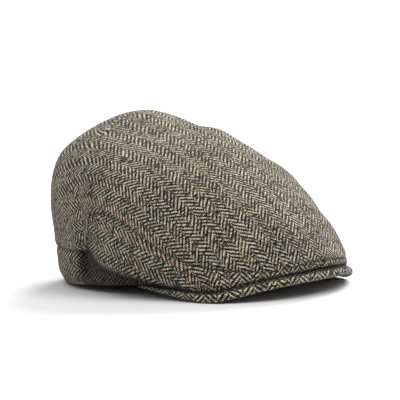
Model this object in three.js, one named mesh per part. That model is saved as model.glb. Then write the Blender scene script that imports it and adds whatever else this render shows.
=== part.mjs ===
// Herringbone tweed flat cap: a top panel, two side panels and a covered peak.
// Millimetres. X runs to the wearer's left, the peak points to -Y and Z is up.
// The hem's back rests on Z = 0.
import * as THREE from "three";

// Head opening, measured at the hem from the point where the cap is balanced on the head.
const HEAD_FRONT = 94;
const HEAD_BACK = 104;
const HEAD_HALF_WIDTH = 80;

// Peak, a covered board.
const PEAK_FRONT = 136.5;
const PEAK_HALF_WIDTH = 91;
const PEAK_THICKNESS = 6;
const PEAK_CAMBER = 3;
const TAIL_THICKNESS = 1.5;
const TAIL_WIDTH = 3;

// Crown, outside. In front it hangs a little over the peak.
const CROWN_OVERHANG = 2.5;
const CROWN_FRONT = PEAK_FRONT + CROWN_OVERHANG;
const CROWN_BACK = 104;
const CROWN_HALF_WIDTH = 93;
const CROWN_HEIGHT = 133.5;
const APEX_SETBACK = 40;

// Cloth and seams.
const CLOTH = 1.8;
const SEAM_GAP = 0.3;
const FOOT_GAP = 0.45;
const STRIP_INSET = 1.2;
const CREASE_DEPTH = 5;

// Angles round the cap, in degrees from the front.
const TAIL_ANGLE = 74;
const PEAK_SPREAD_ANGLE = 50;
const STRIP_ANGLE = 51;
const CREASE_TOP_ANGLE = 100;
const CREASE_HEM_ANGLE = 106;
const CREASE_HALF_WIDTH = 4;
const HALF_TURN = 180;

// Where the side panel's rows lie between the wall and the bulge, as shares.
const UNDER_RISE = 0.35;
const FOLD_RISE = 0.6;

// Where those rows lie between the strip's foot and the bulge on the peak, as shares.
const STRIP_WALL_RISE = 0.08;
const STRIP_UNDER_RISE = 0.2;
const STRIP_FOLD_RISE = 0.5;
const SEAM_SLIT_ANGLE = 0.08;

// Heights are given at seven places: the front, then every thirtieth degree to the back.
const HEIGHT_STEP = 30;

// Each ring of the crown, from the hem up. widest: how far ahead of the balance point it is widest.
// front, back and side: its reach. squareFront and squareBack: 2 is an ellipse, more is boxier.
// widest and front are shares of CROWN_FRONT, back is a share of CROWN_BACK, side is one of
// CROWN_HALF_WIDTH, and the heights are shares of CROWN_HEIGHT.
const CROWN_RINGS = {
  wall: {
    widest: 0, front: 0.69, back: 0.985, side: 0.875, squareFront: 2.1, squareBack: 2.2,
    heights: [0.2, 0.183, 0.135, 0.175, 0.19, 0.183, 0.175],
  },
  under: {
    widest: 0.09, front: 0.95, back: 0.98, side: 0.945, squareFront: 2.05, squareBack: 2.2,
    heights: [0.167, 0.111, 0.063, 0.146, 0.212, 0.204, 0.19],
  },
  fold: {
    widest: 0.09, front: 0.985, back: 1, side: 0.975, squareFront: 2.05, squareBack: 2.2,
    heights: [0.172, 0.122, 0.089, 0.198, 0.263, 0.256, 0.245],
  },
  wallBack: {
    widest: 0, front: 0.7, back: 1.01, side: 0.92, squareFront: 2.1, squareBack: 2.2,
    heights: [0.09, 0.09, 0.09, 0.09, 0.09, 0.085, 0.08],
  },
  underBack: {
    widest: 0.05, front: 0.95, back: 1.02, side: 0.955, squareFront: 2.05, squareBack: 2.2,
    heights: [0.2, 0.2, 0.2, 0.205, 0.21, 0.195, 0.19],
  },
  foldBack: {
    widest: 0.06, front: 0.98, back: 1.025, side: 0.975, squareFront: 2, squareBack: 2.2,
    heights: [0.3, 0.3, 0.3, 0.31, 0.32, 0.31, 0.3],
  },
  bulge: {
    widest: 0.06, front: 1, back: 1, side: 1, squareFront: 2, squareBack: 2.25,
    heights: [0.202, 0.167, 0.232, 0.386, 0.467, 0.469, 0.46],
  },
  swell: {
    widest: 0.02, front: 0.94, back: 0.965, side: 0.965, squareFront: 2, squareBack: 2.25,
    heights: [0.309, 0.304, 0.388, 0.548, 0.639, 0.631, 0.62],
  },
  shoulder: {
    widest: -0.04, front: 0.73, back: 0.915, side: 0.86, squareFront: 2, squareBack: 2.2,
    heights: [0.505, 0.53, 0.595, 0.697, 0.758, 0.765, 0.755],
  },
  crest: {
    widest: -0.19, front: 0.275, back: 0.7, side: 0.515, squareFront: 2, squareBack: 2.1,
    heights: [0.812, 0.818, 0.84, 0.876, 0.902, 0.902, 0.893],
  },
};

// The hem's heights round the head opening, shares of CROWN_HEIGHT. It is level where it rests at the back.
const HEM_HEIGHTS = [0.179, 0.163, 0.088, 0.053, 0.022, 0, 0];
const HEM_SQUARE = 2.1;

// The peak's outer edge: its top side's heights, shares of CROWN_HEIGHT, and the plan of its curve.
const PEAK_EDGE_HEIGHTS = [0.132, 0.105, 0.04, 0.06, 0.06, 0.06, 0.06];
const PEAK_WIDEST = 0.245;
const PEAK_SQUARE = 2.1;

// The seam between top and side panels, heights as shares of CROWN_HEIGHT, ahead of and behind the crease.
const SEAM_HEIGHTS = [0.19, 0.16, 0.222, 0.46, 0.49, 0.48, 0.47];
const SEAM_HEIGHTS_BACK = [0.2, 0.2, 0.213, 0.23, 0.23, 0.215, 0.2];

// Rows of faces up each panel and columns round the cap.
const ROWS_LOW = 14;
const ROWS_TOP_LOW = 4;
const ROWS_TOP = 13;
const ROWS_PEAK = 5;
const COLUMN_STEP = 6;
const TAIL_COLUMN_STEP = 3;
const CREASE_COLUMN_STEP = 1.75;

// How many levels up the panel's foot stays upright where it stands on the peak.
const FOOT_LEVELS = 2;

// The peak's rounded edge: how far it stands out and where its two rows lie, as shares of its thickness.
const EDGE_ROUNDING = 0.2;
const EDGE_DEPTHS = [0.3, 0.7];

// Small steps, in levels and in degrees, between which directions and slopes are measured.
const LEVEL_PROBE = 0.02;
const NORMAL_PROBE_ANGLE = 0.4;
const SLOPE_PROBE_ANGLE = 0.5;

const COLOURS = { top: 0x74705f, side: 0x6c6859, peak: 0x625e50 };
const CLOTH_ROUGHNESS = 0.95;

const radians = THREE.MathUtils.degToRad;
const { clamp, lerp, smoothstep } = THREE.MathUtils;

// A height table read at any angle, smooth and the same on both sides.
function heightAt(heights, angle) {
  const last = heights.length - 1;
  const place = Math.abs(angle) / HEIGHT_STEP;
  const index = Math.min(Math.floor(place), last - 1);
  const share = place - index;
  const read = (k) => heights[k < 0 ? -k : k > last ? 2 * last - k : k];
  const [a, b, c, d] = [read(index - 1), read(index), read(index + 1), read(index + 2)];
  const bend = 2 * a - 5 * b + 4 * c - d;
  const twist = 3 * b - a - 3 * c + d;
  return CROWN_HEIGHT * (b + ((c - a) * share + bend * share ** 2 + twist * share ** 3) / 2);
}

// A point on an egg-shaped ring, by its angle from the front. Positive angles are on the wearer's right.
function eggPoint(widest, front, back, side, squareFront, squareBack, angle, height) {
  const sine = Math.sin(radians(angle));
  const cosine = Math.cos(radians(angle));
  const square = cosine >= 0 ? squareFront : squareBack;
  const reach = cosine >= 0 ? front - widest : back + widest;
  const across = Math.sign(sine) * Math.abs(sine) ** (2 / square);
  const along = Math.sign(cosine) * Math.abs(cosine) ** (2 / square);
  return new THREE.Vector3(-side * across, -widest - reach * along, height);
}

function crownRing(name, angle) {
  const ring = CROWN_RINGS[name];
  return eggPoint(ring.widest * CROWN_FRONT, ring.front * CROWN_FRONT, ring.back * CROWN_BACK,
    ring.side * CROWN_HALF_WIDTH, ring.squareFront, ring.squareBack, angle, heightAt(ring.heights, angle));
}

function hem(angle) {
  return eggPoint(0, HEAD_FRONT, HEAD_BACK, HEAD_HALF_WIDTH, HEM_SQUARE, HEM_SQUARE, angle,
    Math.max(0, heightAt(HEM_HEIGHTS, angle)));
}

// How far the peak has spread from its tail (0) to its full width (1).
function peakShare(angle) {
  const share = (TAIL_ANGLE - Math.abs(angle)) / (TAIL_ANGLE - PEAK_SPREAD_ANGLE);
  return Math.sin((Math.PI / 2) * clamp(share, 0, 1));
}

// The peak's outer edge leaves the hem at the tail and spreads to its full curve.
function peakEdge(angle) {
  const tail = hem(angle);
  const outward = new THREE.Vector3(tail.x, tail.y, 0).normalize();
  tail.addScaledVector(outward, TAIL_WIDTH);
  const full = eggPoint(PEAK_WIDEST * PEAK_FRONT, PEAK_FRONT, 0, PEAK_HALF_WIDTH, PEAK_SQUARE, PEAK_SQUARE, angle,
    heightAt(PEAK_EDGE_HEIGHTS, angle));
  return tail.lerp(full, peakShare(angle));
}

// The peak's top, from the hem (share 0) to its outer edge (share 1).
function peakTop(angle, share) {
  const inner = hem(angle);
  const outer = peakEdge(angle);
  const width = inner.distanceTo(outer);
  const camber = PEAK_CAMBER * 4 * share * (1 - share) * Math.min(1, width / (PEAK_FRONT - HEAD_FRONT));
  const point = inner.lerp(outer, share);
  point.z += camber;
  return point;
}

function peakThickness(angle) {
  return TAIL_THICKNESS + (PEAK_THICKNESS - TAIL_THICKNESS) * peakShare(angle);
}

// Where the panel's lower edge stands on the peak, a chosen distance in from the peak's edge.
function onPeak(angle, inset) {
  const width = hem(angle).distanceTo(peakEdge(angle));
  const point = peakTop(angle, Math.max(0, 1 - inset / width));
  point.z += FOOT_GAP;
  return point;
}

const isOnPeak = (angle) => Math.abs(angle) <= TAIL_ANGLE;

// How far the cloth has turned from a loose tuck (0) into the strip that lies on the peak (1).
const stripShare = (angle) => clamp((TAIL_ANGLE - Math.abs(angle)) / (TAIL_ANGLE - STRIP_ANGLE), 0, 1);

// How far an angle lies past the crease, in half widths. The crease slants back towards the hem.
function pastCrease(angle, rise) {
  const middle = CREASE_HEM_ANGLE + (CREASE_TOP_ANGLE - CREASE_HEM_ANGLE) * rise;
  return (Math.abs(angle) - middle) / CREASE_HALF_WIDTH;
}

const backShare = (angle, rise) => smoothstep(pastCrease(angle, rise), -1, 1);
const creaseShare = (angle, rise) => Math.exp(-(pastCrease(angle, rise) ** 2));

// A row of the side panel between the hem and the bulge. It follows its tucked ring ahead of the crease and its
// plain ring behind it, runs straight from the wall to the bulge in the crease, and joins the strip on the peak.
function lowerRow(name, angle, rise, from, to, onStrip) {
  const row = crownRing(name, angle).lerp(crownRing(`${name}Back`, angle), backShare(angle, rise));
  const chord = from.clone().lerp(to, rise);
  return row.lerp(chord, creaseShare(angle, rise)).lerp(onStrip, stripShare(angle));
}

// The points that one section of the crown passes through, from its lower edge to the apex.
function section(angle) {
  const low = isOnPeak(angle) ? onPeak(angle, STRIP_INSET) : hem(angle);
  const bulge = crownRing("bulge", angle);
  const inward = new THREE.Vector3(-bulge.x, 0, 0).normalize();
  bulge.addScaledVector(inward, CREASE_DEPTH * creaseShare(angle, 1));
  const wall = crownRing("wall", angle).lerp(crownRing("wallBack", angle), backShare(angle, 0));
  const onStrip = (rise) => low.clone().lerp(bulge, rise);
  const stripWall = onStrip(STRIP_WALL_RISE);
  const wallHeight = lerp(wall.z, stripWall.z, stripShare(angle));
  wall.lerp(stripWall, peakShare(angle)).setZ(wallHeight);
  return [
    low,
    wall,
    lowerRow("under", angle, UNDER_RISE, wall, bulge, onStrip(STRIP_UNDER_RISE)),
    lowerRow("fold", angle, FOLD_RISE, wall, bulge, onStrip(STRIP_FOLD_RISE)),
    bulge,
    crownRing("swell", angle),
    crownRing("shoulder", angle),
    crownRing("crest", angle),
    new THREE.Vector3(0, APEX_SETBACK, CROWN_HEIGHT),
  ];
}

// A smooth curve through a section's points, read at a level that counts them from 0.
function curvePoint(points, level) {
  const last = points.length - 1;
  const index = Math.min(Math.floor(level), last - 1);
  const share = level - index;
  const start = points[index];
  const end = points[index + 1];
  const before = index > 0 ? points[index - 1] : start.clone().multiplyScalar(2).sub(end);
  const after = index + 2 <= last ? points[index + 2]
    : new THREE.Vector3(2 * end.x - start.x, 2 * end.y - start.y, start.z);
  const gap = (p, q) => Math.max(Math.sqrt(p.distanceTo(q)), Number.EPSILON);
  const [first, middle, third] = [gap(before, start), gap(start, end), gap(end, after)];
  const coordinate = (axis) => {
    const [a, b, c, d] = [before[axis], start[axis], end[axis], after[axis]];
    const leave = c - b + middle * ((b - a) / first - (c - a) / (first + middle));
    const arrive = c - b + middle * ((d - c) / third - (d - b) / (middle + third));
    return (2 * share ** 3 - 3 * share ** 2 + 1) * b + (share ** 3 - 2 * share ** 2 + share) * leave
      + (3 * share ** 2 - 2 * share ** 3) * c + (share ** 3 - share ** 2) * arrive;
  };
  return new THREE.Vector3(coordinate("x"), coordinate("y"), coordinate("z"));
}

// Levels count a section's points. The seam always lies between its lowest level and the crest.
const LEVEL_SEAM_LOWEST = 1.5;
const LEVEL_SWELL = 5;
const LEVEL_CREST = 7;
const LEVEL_APEX = 8;
const SEAM_SEARCH_STEPS = 30;

const crownPoint = (angle, level) => curvePoint(section(angle), level);

function seamHeight(angle) {
  return lerp(heightAt(SEAM_HEIGHTS, angle), heightAt(SEAM_HEIGHTS_BACK, angle), backShare(angle, 1));
}

// The level at which a section reaches the seam's height.
function seamLevel(angle) {
  const points = section(angle);
  const height = seamHeight(angle);
  let low = LEVEL_SEAM_LOWEST;
  let high = LEVEL_CREST;
  for (let step = 0; step < SEAM_SEARCH_STEPS; step += 1) {
    const middle = (low + high) / 2;
    if (curvePoint(points, middle).z < height) low = middle;
    else high = middle;
  }
  return (low + high) / 2;
}

// The direction straight out of the cloth.
function crownNormal(angle, level) {
  const turn = NORMAL_PROBE_ANGLE;
  const around = crownPoint(angle + turn, level).sub(crownPoint(angle - turn, level));
  const upLevel = Math.min(level + LEVEL_PROBE, LEVEL_APEX - LEVEL_PROBE);
  const downLevel = Math.max(Math.min(level, LEVEL_APEX - LEVEL_PROBE) - LEVEL_PROBE, 0);
  const up = crownPoint(angle, upLevel).sub(crownPoint(angle, downLevel));
  return up.cross(around).normalize();
}

// Outside and inside points of the cloth at one place. At the seam both panels' edges are cut square to it.
function clothPair(angle, level, atSeam = false) {
  const outside = crownPoint(angle, level);
  const normal = crownNormal(angle, atSeam ? seamLevel(angle) : level);
  const inside = outside.clone().addScaledVector(normal, -CLOTH);
  if (isOnPeak(angle)) {
    const foot = onPeak(angle, STRIP_INSET + CLOTH).add(outside).sub(crownPoint(angle, 0));
    inside.lerp(foot, 1 - smoothstep(level, 0, FOOT_LEVELS));
  } else if (level === 0) {
    inside.z = outside.z;
  }
  return { outside, inside };
}

// Angles of the columns between two angles on the wearer's right, closer together round the tail and the crease.
function columnAngles(from, to) {
  const angles = [from];
  const creaseFrom = CREASE_TOP_ANGLE - 2 * CREASE_HALF_WIDTH;
  const creaseTo = CREASE_HEM_ANGLE + 2 * CREASE_HALF_WIDTH;
  const parts = [
    { end: PEAK_SPREAD_ANGLE, step: COLUMN_STEP },
    { end: TAIL_ANGLE, step: TAIL_COLUMN_STEP },
    { end: creaseFrom, step: COLUMN_STEP },
    { end: creaseTo, step: CREASE_COLUMN_STEP },
    { end: HALF_TURN, step: COLUMN_STEP },
  ];
  let start = from;
  for (const part of parts) {
    const end = Math.min(part.end, to);
    const count = Math.ceil((end - start) / part.step);
    for (let k = 1; k <= count; k += 1) angles.push(start + ((end - start) * k) / count);
    start = end;
  }
  return angles;
}

class MeshBuilder {
  constructor() {
    this.positions = [];
    this.triangles = [];
  }

  add(point) {
    this.positions.push(point.x, point.y, point.z);
    return this.positions.length / 3 - 1;
  }

  quad(a, b, c, d) {
    this.triangles.push(a, b, c, a, c, d);
  }

  // Faces between two rows of the same length. Turned faces are split along their other diagonal.
  strip(lower, upper, closed, turned = false) {
    const count = lower.length;
    for (let k = 0; k < (closed ? count : count - 1); k += 1) {
      const next = (k + 1) % count;
      if (turned) this.quad(lower[next], upper[next], upper[k], lower[k]);
      else this.quad(lower[k], lower[next], upper[next], upper[k]);
    }
  }

  mesh(name, colour, roughness) {
    const geometry = new THREE.BufferGeometry();
    geometry.setAttribute("position", new THREE.Float32BufferAttribute(this.positions, 3));
    geometry.setIndex(this.triangles);
    geometry.computeVertexNormals();
    const mesh = new THREE.Mesh(geometry, new THREE.MeshStandardMaterial({ color: colour, roughness, metalness: 0 }));
    mesh.name = name;
    return mesh;
  }
}

// The level half a seam gap above or below the seam, further where the seam climbs steeply.
function seamEdgeLevel(angle, side) {
  const level = seamLevel(angle);
  const turn = SLOPE_PROBE_ANGLE;
  const above = crownPoint(angle, level + LEVEL_PROBE);
  const size = above.distanceTo(crownPoint(angle, level - LEVEL_PROBE)) / (2 * LEVEL_PROBE);
  const climb = seamHeight(angle + turn) - seamHeight(angle - turn);
  const along = crownPoint(angle + turn, level).distanceTo(crownPoint(angle - turn, level));
  return level + (side * SEAM_GAP * Math.hypot(1, climb / along)) / 2 / size;
}

// Rows gather between the seam and the swell, and are level rings above it.
function topLevel(angle, row) {
  const edge = seamEdgeLevel(angle, 1);
  if (row < ROWS_TOP_LOW) return edge + ((LEVEL_SWELL - edge) * row) / ROWS_TOP_LOW;
  return LEVEL_SWELL + ((LEVEL_APEX - LEVEL_SWELL) * (row - ROWS_TOP_LOW)) / (ROWS_TOP - ROWS_TOP_LOW);
}

function topPanel() {
  const builder = new MeshBuilder();
  const half = columnAngles(0, HALF_TURN);
  const angles = [...half, ...half.slice(1, -1).reverse().map((angle) => -angle)];
  const outer = [];
  const inner = [];
  for (let row = 0; row < ROWS_TOP; row += 1) {
    const pairs = angles.map((angle) => clothPair(angle, topLevel(angle, row), row === 0));
    outer.push(pairs.map((pair) => builder.add(pair.outside)));
    inner.push(pairs.map((pair) => builder.add(pair.inside)));
  }
  const apex = new THREE.Vector3(0, APEX_SETBACK, CROWN_HEIGHT);
  const apexOuter = builder.add(apex);
  const apexInner = builder.add(apex.clone().setZ(CROWN_HEIGHT - CLOTH));
  for (let row = 0; row + 1 < ROWS_TOP; row += 1) {
    builder.strip(outer[row + 1], outer[row], true);
    builder.strip(inner[row], inner[row + 1], true);
  }
  builder.strip(outer[0], inner[0], true);
  const lastOuter = outer[ROWS_TOP - 1];
  const lastInner = inner[ROWS_TOP - 1];
  for (let k = 0; k < angles.length; k += 1) {
    const next = (k + 1) % angles.length;
    builder.triangles.push(apexOuter, lastOuter[next], lastOuter[k]);
    builder.triangles.push(apexInner, lastInner[k], lastInner[next]);
  }
  return builder.mesh("top_panel", COLOURS.top, CLOTH_ROUGHNESS);
}

// One side panel. side is 1 for the wearer's right and -1 for the left.
function sidePanel(name, side) {
  const builder = new MeshBuilder();
  const angles = columnAngles(SEAM_SLIT_ANGLE, HALF_TURN - SEAM_SLIT_ANGLE).map((angle) => side * angle);
  const outer = [];
  const inner = [];
  for (let row = 0; row <= ROWS_LOW; row += 1) {
    const levelAt = (angle) => (seamEdgeLevel(angle, -1) * row) / ROWS_LOW;
    const pairs = angles.map((angle) => clothPair(angle, levelAt(angle), row === ROWS_LOW));
    outer.push(pairs.map((pair) => builder.add(pair.outside)));
    inner.push(pairs.map((pair) => builder.add(pair.inside)));
  }
  const face = (lower, upper, turned = false) => {
    if (side > 0) builder.strip(upper, lower, false, turned);
    else builder.strip(lower, upper, false, turned);
  };
  for (let row = 0; row < ROWS_LOW; row += 1) {
    face(outer[row], outer[row + 1]);
    face(inner[row + 1], inner[row]);
  }
  face(inner[0], outer[0]);
  face(outer[ROWS_LOW], inner[ROWS_LOW], true);
  for (const column of [0, angles.length - 1]) {
    const atEnd = column > 0;
    const outerColumn = outer.map((row) => row[column]);
    const innerColumn = inner.map((row) => row[column]);
    if (atEnd === side > 0) builder.strip(outerColumn, innerColumn, false);
    else builder.strip(innerColumn, outerColumn, false);
  }
  return builder.mesh(name, COLOURS.side, CLOTH_ROUGHNESS);
}

function peak() {
  const builder = new MeshBuilder();
  const half = columnAngles(0, TAIL_ANGLE);
  const angles = [...half.slice(1).reverse().map((angle) => -angle), ...half];
  const count = angles.length - 1;
  const loops = [];
  for (const angle of angles) {
    const thickness = peakThickness(angle);
    const loop = [];
    for (let row = 0; row <= ROWS_PEAK; row += 1) loop.push(builder.add(peakTop(angle, row / ROWS_PEAK)));
    const edge = peakEdge(angle);
    const outward = edge.clone().sub(hem(angle)).setZ(0).normalize();
    edge.addScaledVector(outward, EDGE_ROUNDING * thickness);
    for (const depth of EDGE_DEPTHS) {
      loop.push(builder.add(edge.clone().setZ(edge.z - depth * thickness)));
    }
    for (let row = ROWS_PEAK; row >= 0; row -= 1) {
      const point = peakTop(angle, row / ROWS_PEAK);
      point.z -= thickness;
      loop.push(builder.add(point));
    }
    loops.push(loop);
  }
  for (let column = 0; column < count; column += 1) builder.strip(loops[column + 1], loops[column], true);
  for (const [loop, isLast] of [[loops[0], false], [loops[count], true]]) {
    const size = loop.length;
    for (let k = 0; k < ROWS_PEAK; k += 1) {
      const corners = [loop[k], loop[k + 1], loop[size - 2 - k], loop[size - 1 - k]];
      if (isLast) corners.reverse();
      builder.quad(...corners);
    }
    const tip = [loop[ROWS_PEAK], loop[ROWS_PEAK + 1], loop[ROWS_PEAK + 2], loop[ROWS_PEAK + 3]];
    if (isLast) tip.reverse();
    builder.quad(...tip);
  }
  return builder.mesh("peak", COLOURS.peak, CLOTH_ROUGHNESS);
}

const cap = new THREE.Group();
cap.add(topPanel(), sidePanel("side_panel_right", 1), sidePanel("side_panel_left", -1), peak());

// The origin goes below the middle of the whole cap, at the height of its lowest point.
const box = new THREE.Box3().setFromObject(cap);
const middle = box.getCenter(new THREE.Vector3());
for (const mesh of cap.children) mesh.geometry.translate(0, -middle.y, -box.min.z);

export default cap;
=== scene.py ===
"""Herringbone tweed flat cap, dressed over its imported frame.

Lengths are in millimetres, unless a comment gives another measure.
"""

import math

import bmesh
import bpy
import numpy as np
from mathutils import Matrix, Vector
from mathutils.noise import noise


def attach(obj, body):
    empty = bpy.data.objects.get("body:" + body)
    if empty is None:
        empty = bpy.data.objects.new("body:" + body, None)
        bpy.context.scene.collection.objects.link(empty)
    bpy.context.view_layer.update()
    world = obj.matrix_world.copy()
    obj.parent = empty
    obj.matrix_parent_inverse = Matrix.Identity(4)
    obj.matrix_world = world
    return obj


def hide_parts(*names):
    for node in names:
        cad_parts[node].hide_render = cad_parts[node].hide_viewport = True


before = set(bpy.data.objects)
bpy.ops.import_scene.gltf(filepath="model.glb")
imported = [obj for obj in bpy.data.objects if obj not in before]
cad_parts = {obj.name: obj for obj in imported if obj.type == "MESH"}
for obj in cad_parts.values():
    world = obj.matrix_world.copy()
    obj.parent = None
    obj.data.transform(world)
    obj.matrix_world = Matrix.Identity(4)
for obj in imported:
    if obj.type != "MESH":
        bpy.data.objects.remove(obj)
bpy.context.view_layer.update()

MM = 0.001
SEED = 11

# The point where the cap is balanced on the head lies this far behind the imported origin.
BALANCE_SETBACK = 16.165

# Head opening and crown, from that point.
HEAD_FRONT = 94
HEAD_BACK = 104
HEAD_HALF_WIDTH = 80
CROWN_FRONT = 139
CROWN_BACK = 104
CROWN_HALF_WIDTH = 93
CROWN_HEIGHT = 133.5
APEX_SETBACK = 40

# Peak. It is widest at a share of its reach in front, and the last number is how square its plan is.
PEAK_FRONT = 136.5
PEAK_HALF_WIDTH = 91
PEAK_THICKNESS = 6
PEAK_CAMBER = 3
TAIL_THICKNESS = 1.5
TAIL_WIDTH = 3
PEAK_WIDEST = 0.245
PEAK_SQUARE = 2.1

# Cloth and seams.
CLOTH = 1.8
FOOT_GAP = 0.45
STRIP_INSET = 1.2
CREASE_DEPTH = 2

# Angles round the cap, in degrees from the front, on the wearer's right.
TAIL_ANGLE = 74
PEAK_SPREAD_ANGLE = 50
STRIP_ANGLE = 51
CREASE_TOP_ANGLE = 100
CREASE_HEM_ANGLE = 106
CREASE_HALF_WIDTH = 4

# How far up towards the bulge the rows below it lie: from the wall at the crease, and from the lower edge on
# the strip.
UNDER_RISE = 0.35
FOLD_RISE = 0.6
STRIP_WALL_RISE = 0.08
STRIP_UNDER_RISE = 0.2
STRIP_FOLD_RISE = 0.5

# Rings of the crown, as shares of its sizes: how far ahead each is widest, its reach in front, back and to
# the side, how square its plan is in front and behind, and its heights from the front to the back.
CROWN_RINGS = {
    "wall": (0, 0.69, 0.985, 0.875, 2.1, 2.2, (0.2, 0.183, 0.135, 0.175, 0.19, 0.183, 0.175)),
    "under": (0.09, 0.95, 0.98, 0.945, 2.05, 2.2, (0.167, 0.111, 0.063, 0.146, 0.212, 0.204, 0.19)),
    "fold": (0.09, 0.985, 1, 0.975, 2.05, 2.2, (0.172, 0.122, 0.089, 0.198, 0.263, 0.256, 0.245)),
    "wallBack": (0, 0.7, 1.01, 0.92, 2.1, 2.2, (0.09, 0.09, 0.09, 0.09, 0.09, 0.085, 0.08)),
    "underBack": (0.05, 0.95, 1.02, 0.955, 2.05, 2.2, (0.2, 0.2, 0.2, 0.205, 0.21, 0.195, 0.19)),
    "foldBack": (0.06, 0.98, 1.025, 0.975, 2, 2.2, (0.3, 0.3, 0.3, 0.31, 0.32, 0.31, 0.3)),
    "bulge": (0.06, 1, 1, 1, 2, 2.25, (0.202, 0.167, 0.232, 0.386, 0.467, 0.469, 0.46)),
    "swell": (0.02, 0.94, 0.965, 0.965, 2, 2.25, (0.309, 0.304, 0.388, 0.548, 0.639, 0.631, 0.62)),
    "shoulder": (-0.04, 0.73, 0.915, 0.86, 2, 2.2, (0.505, 0.53, 0.595, 0.697, 0.758, 0.765, 0.755)),
    "crest": (-0.19, 0.275, 0.7, 0.515, 2, 2.1, (0.812, 0.818, 0.84, 0.876, 0.902, 0.902, 0.893)),
}

# The crown's and these heights stand at every step of this angle from the front to the back, as shares of the
# crown's height.
HEIGHT_STEP = 30
HEM_HEIGHTS = (0.179, 0.163, 0.088, 0.053, 0.022, 0, 0)
HEM_SQUARE = 2.1
PEAK_EDGE_HEIGHTS = (0.132, 0.105, 0.04, 0.06, 0.06, 0.06, 0.06)
SEAM_HEIGHTS = (0.19, 0.16, 0.222, 0.46, 0.31, 0.3, 0.3)
SEAM_HEIGHTS_BACK = (0.2, 0.2, 0.213, 0.23, 0.23, 0.215, 0.2)

# Levels of some of the nine points of a section, and the level where the search for the seam starts.
LEVEL_SEARCH = 1.5
LEVEL_UNDER = 2
LEVEL_FOLD = 3
LEVEL_BULGE = 4
LEVEL_CREST = 7
LEVEL_APEX = 8
SEARCH_STEPS = 30

# Least values that keep a division from failing.
LEAST_SPACING = 1e-3
LEAST_LENGTH = 1e-9


def smooth(low, high, value):
    share = np.clip((value - low) / (high - low), 0, 1)
    return share * share * (3 - 2 * share)


def bump(distance, place, width):
    return np.exp(-(((distance - place) / width) ** 2))


def mix(start, end, share):
    share = np.asarray(share)
    if np.ndim(start) > np.ndim(share):
        share = share[..., None]
    return start + (end - start) * share


def height_at(heights, angle):
    """A height table read at any angle, as a smooth curve, in millimetres."""
    table = np.array(heights, float)
    last = len(table) - 1
    padded = np.concatenate([[table[1]], table, [table[last - 1]]])
    place = np.abs(angle) / HEIGHT_STEP
    index = np.minimum(np.floor(place).astype(int), last - 1)
    share = place - index
    before, start, end, after = (padded[index + offset] for offset in range(4))
    bend = 2 * before - 5 * start + 4 * end - after
    twist = 3 * start - before - 3 * end + after
    return CROWN_HEIGHT * (start + ((end - before) * share + bend * share**2 + twist * share**3) / 2)


def egg_points(widest, front, back, side, square_front, square_back, angle, height):
    """Points on an egg-shaped ring at each angle."""
    sine, cosine = np.sin(np.radians(angle)), np.cos(np.radians(angle))
    square = np.where(cosine >= 0, square_front, square_back)
    reach = np.where(cosine >= 0, front - widest, back + widest)
    across = np.sign(sine) * np.abs(sine) ** (2 / square)
    along = np.sign(cosine) * np.abs(cosine) ** (2 / square)
    return np.stack([-side * across, -widest - reach * along, height + 0 * across], axis=-1)


def crown_ring(name, angle):
    widest, front, back, side, square_front, square_back, heights = CROWN_RINGS[name]
    reaches = (widest * CROWN_FRONT, front * CROWN_FRONT, back * CROWN_BACK, side * CROWN_HALF_WIDTH)
    return egg_points(*reaches, square_front, square_back, angle, height_at(heights, angle))


def hem(angle):
    height = np.maximum(0, height_at(HEM_HEIGHTS, angle))
    return egg_points(0, HEAD_FRONT, HEAD_BACK, HEAD_HALF_WIDTH, HEM_SQUARE, HEM_SQUARE, angle, height)


def peak_share(angle):
    """0 at the peak's tails and 1 where it has its full width."""
    share = np.clip((TAIL_ANGLE - np.abs(angle)) / (TAIL_ANGLE - PEAK_SPREAD_ANGLE), 0, 1)
    return np.sin(np.pi / 2 * share)


def strip_share(angle):
    """1 where the side panel is the narrow strip on the peak, and 0 behind the peak's tail."""
    return np.clip((TAIL_ANGLE - np.abs(angle)) / (TAIL_ANGLE - STRIP_ANGLE), 0, 1)


def peak_edge(angle):
    tail = hem(angle)
    outward = tail * (1, 1, 0)
    outward /= np.linalg.norm(outward, axis=-1, keepdims=True)
    widest = PEAK_WIDEST * PEAK_FRONT
    height = height_at(PEAK_EDGE_HEIGHTS, angle)
    full = egg_points(widest, PEAK_FRONT, 0, PEAK_HALF_WIDTH, PEAK_SQUARE, PEAK_SQUARE, angle, height)
    return mix(tail + TAIL_WIDTH * outward, full, peak_share(angle))


def peak_top(angle, share):
    """The peak's top from the hem (share 0) to its edge (share 1)."""
    inner, outer = hem(angle), peak_edge(angle)
    width = np.linalg.norm(outer - inner, axis=-1)
    point = mix(inner, outer, share + 0 * angle)
    point[..., 2] += PEAK_CAMBER * 4 * share * (1 - share) * np.minimum(1, width / (PEAK_FRONT - HEAD_FRONT))
    return point


def on_peak(angle, inset):
    """Just above the peak's top, at that distance from its edge."""
    width = np.linalg.norm(peak_edge(angle) - hem(angle), axis=-1)
    point = peak_top(angle, np.maximum(0, 1 - inset / width))
    point[..., 2] += FOOT_GAP
    return point


def past_crease(angle, rise):
    """How far behind the crease an angle is, in half widths. rise is 0 at the hem and 1 at the bulge."""
    middle = CREASE_HEM_ANGLE + (CREASE_TOP_ANGLE - CREASE_HEM_ANGLE) * rise
    return (np.abs(angle) - middle) / CREASE_HALF_WIDTH


def back_share(angle, rise):
    return smooth(-1, 1, past_crease(angle, rise))


def crease_share(angle, rise):
    return np.exp(-past_crease(angle, rise) ** 2)


def lower_row(name, angle, rise, start, end, on_strip):
    row = mix(crown_ring(name, angle), crown_ring(name + "Back", angle), back_share(angle, rise))
    row = mix(row, mix(start, end, rise + 0 * angle), crease_share(angle, rise))
    return mix(row, on_strip, strip_share(angle))


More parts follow.
